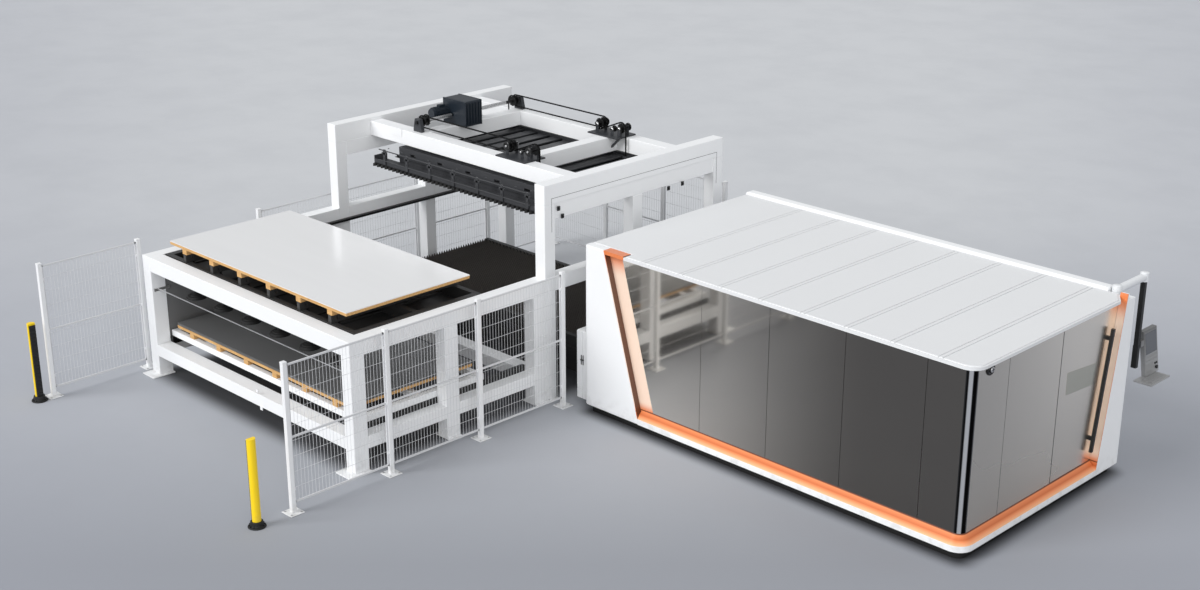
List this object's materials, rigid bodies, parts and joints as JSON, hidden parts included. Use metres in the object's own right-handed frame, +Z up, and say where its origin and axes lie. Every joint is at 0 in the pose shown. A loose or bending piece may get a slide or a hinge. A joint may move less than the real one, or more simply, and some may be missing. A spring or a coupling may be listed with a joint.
{
  "type": "fiber laser cutting machine",
  "caption": "Enclosed sheet laser cutter with exchange table, fed by a gantry with chain hoist and comb lift from a two-level pallet rack, behind a mesh guard fence with light-curtain posts.",
  "frame": {"origin": "middle of the laser machine's plinth, on the floor", "axes": "+X along the machine's length, away from the loading gantry; +Y to the rear, away from the glass front; +Z up"},
  "size_m": [11.66, 9.89, 3.39],
  "materials": {
    "shell_white": "satin",
    "roof_white": "satin",
    "plinth_black": "matt",
    "reveal_orange": "gloss",
    "dark_glass": "polished",
    "corner_silver": "brushed",
    "handle_black": "gloss",
    "button_black": "gloss",
    "button_silver": "satin",
    "cabinet_white": "satin",
    "console_white": "satin",
    "console_grey": "satin",
    "bed_grey": "matt",
    "head_black": "satin",
    "table_black": "matt",
    "slat_steel": "dull",
    "frame_white": "satin",
    "drive_slate": "satin",
    "wheel_steel": "dull",
    "chain_dark": "oiled",
    "support_dark": "satin",
    "lift_dark": "satin",
    "comb_steel": "dull",
    "rail_dark": "dull",
    "trolley_dark": "satin",
    "cup_black": "matt",
    "pallet_wood": "raw",
    "sheet_bright": "satin",
    "sheet_dark": "dull",
    "rod_steel": "satin",
    "fence_white": "satin",
    "post_yellow": "gloss",
    "foot_black": "matt"
  },
  "bodies": {
    "cell": {"button_ring": "button_black", "console_bracket": "console_white", "corner_trim": "corner_silver", "end_cover": "shell_white", "fall_chains": "chain_dark", "fence_panels": "fence_white", "fence_posts": "fence_white", "front_glass": "dark_glass", "gantry_beams": "frame_white", "gantry_posts": "frame_white", "gantry_roof_beams": "frame_white", "hoist_gearbox": "drive_slate", "hoist_motor": "drive_slate", "hoist_supports": "support_dark", "left_cover": "shell_white", "left_wall": "shell_white", "light_post_feet": "foot_black", "light_posts": "post_yellow", "loop_chains": "chain_dark", "lower_lip": "shell_white", "machine_bed": "bed_grey", "machine_plinth": "plinth_black", "rack_beams": "frame_white", "rack_posts": "frame_white", "rear_rim": "shell_white", "rear_wall": "shell_white", "reveal_frame": "reveal_orange", "roof_deck": "roof_white", "roof_panels": "roof_white", "side_cabinet": "cabinet_white", "side_glass": "dark_glass", "stop_rod": "rod_steel", "table_rails": "table_black", "trolley_rails": "rail_dark"},
    "exchange_table": {"table_frame": "table_black", "table_slats": "slat_steel"},
    "bridge": {"cutting_bridge": "bed_grey"},
    "carriage": {"head_carriage": "head_black"},
    "head": {"laser_head": "head_black"},
    "door": {"door_leaf": "dark_glass", "door_handle": "handle_black"},
    "button": {"button_cap": "button_silver"},
    "arm": {"console_arm": "console_white"},
    "screen": {"console_head": "console_grey"},
    "lift": {"lift_frame": "lift_dark", "lift_combs": "comb_steel"},
    "shaft": {"drive_shaft": "wheel_steel"},
    "upper_level": {"upper_trolley": "trolley_dark", "trolley_cups": "cup_black", "upper_pallet": "pallet_wood", "upper_sheet": "sheet_bright"},
    "lower_level": {"lower_trolley": "frame_white", "lower_pallet": "pallet_wood", "lower_sheet": "sheet_dark"},
    "front_loop_axle": {"front_loop_sprockets": "wheel_steel"},
    "front_guide_axle": {"front_guide_rollers": "wheel_steel"},
    "front_fall_axle": {"front_fall_sprockets": "wheel_steel"},
    "rear_loop_axle": {"rear_loop_sprockets": "wheel_steel"},
    "rear_guide_axle": {"rear_guide_rollers": "wheel_steel"},
    "rear_fall_axle": {"rear_fall_sprockets": "wheel_steel"}
  },
  "joints": [
    {"name": "exchange_table_slide", "type": "slide", "parent": "cell", "child": "exchange_table", "axis": [1, 0, 0], "range_m": [0, 4.4]},
    {"name": "bridge_slide", "type": "slide", "parent": "cell", "child": "bridge", "axis": [-1, 0, 0], "range_m": [0, 4.4]},
    {"name": "carriage_slide", "type": "slide", "parent": "bridge", "child": "carriage", "axis": [0, 1, 0], "range_m": [0, 1.3]},
    {"name": "head_slide", "type": "slide", "parent": "carriage", "child": "head", "axis": [0, 0, -1], "range_m": [0, 0.1]},
    {"name": "door_swing", "type": "hinge", "parent": "cell", "child": "door", "pos_m": [2.899, 0.265, 1.3], "axis": [0, 0, -1], "range_deg": [0, 100]},
    {"name": "button_press", "type": "slide", "parent": "cell", "child": "button", "axis": [-1, 0, 0], "range_m": [0, 0.008], "stiffness_N_per_m": 900},
    {"name": "console_arm_swivel", "type": "hinge", "parent": "cell", "child": "arm", "pos_m": [2.795, 1.62, 2.376], "axis": [0, 0, 1], "range_deg": [-90, 10]},
    {"name": "console_head_swivel", "type": "hinge", "parent": "arm", "child": "screen", "pos_m": [2.795, 2.29, 2.3], "axis": [0, 0, 1], "range_deg": [-60, 60]},
    {"name": "lift_slide", "type": "slide", "parent": "cell", "child": "lift", "axis": [0, 0, 1], "range_m": [-1.65, 0], "deforming": ["fall_chains"]},
    {"name": "shaft_turn", "type": "hinge", "parent": "cell", "child": "shaft", "pos_m": [-7.105, -0.073, 3.15], "axis": [0, 1, 0], "range_deg": [-1262.51, 2]},
    {"name": "front_loop_turn", "type": "hinge", "parent": "cell", "child": "front_loop_axle", "pos_m": [-5.196, -1.078, 3.15], "axis": [0, 1, 0], "range_deg": [-1262.5, 2]},
    {"name": "front_guide_turn", "type": "hinge", "parent": "cell", "child": "front_guide_axle", "pos_m": [-4.89, -1.078, 3.12335], "axis": [0, 1, 0], "range_deg": [-2, 2102.84]},
    {"name": "front_fall_turn", "type": "hinge", "parent": "cell", "child": "front_fall_axle", "pos_m": [-4.749, -1.078, 3.15], "axis": [0, 1, 0], "range_deg": [-2, 1262.5]},
    {"name": "rear_loop_turn", "type": "hinge", "parent": "cell", "child": "rear_loop_axle", "pos_m": [-5.196, 0.932, 3.15], "axis": [0, 1, 0], "range_deg": [-1262.5, 2]},
    {"name": "rear_guide_turn", "type": "hinge", "parent": "cell", "child": "rear_guide_axle", "pos_m": [-4.89, 0.932, 3.12335], "axis": [0, 1, 0], "range_deg": [-2, 2102.84]},
    {"name": "rear_fall_turn", "type": "hinge", "parent": "cell", "child": "rear_fall_axle", "pos_m": [-4.749, 0.932, 3.15], "axis": [0, 1, 0], "range_deg": [-2, 1262.5]},
    {"name": "upper_trolley_slide", "type": "slide", "parent": "cell", "child": "upper_level", "axis": [0, 1, 0], "range_m": [0, 3.75]},
    {"name": "lower_trolley_slide", "type": "slide", "parent": "cell", "child": "lower_level", "axis": [0, -1, 0], "range_m": [0, 1.8]}
  ],
  "couplings": [
    {"joint": "shaft_turn", "follows": "lift_slide", "rad_per_m": 13.333},
    {"joint": "front_loop_turn", "follows": "lift_slide", "rad_per_m": 13.333},
    {"joint": "front_guide_turn", "follows": "lift_slide", "rad_per_m": -22.222},
    {"joint": "front_fall_turn", "follows": "lift_slide", "rad_per_m": -13.333},
    {"joint": "rear_loop_turn", "follows": "lift_slide", "rad_per_m": 13.333},
    {"joint": "rear_guide_turn", "follows": "lift_slide", "rad_per_m": -22.222},
    {"joint": "rear_fall_turn", "follows": "lift_slide", "rad_per_m": -13.333}
  ]
}
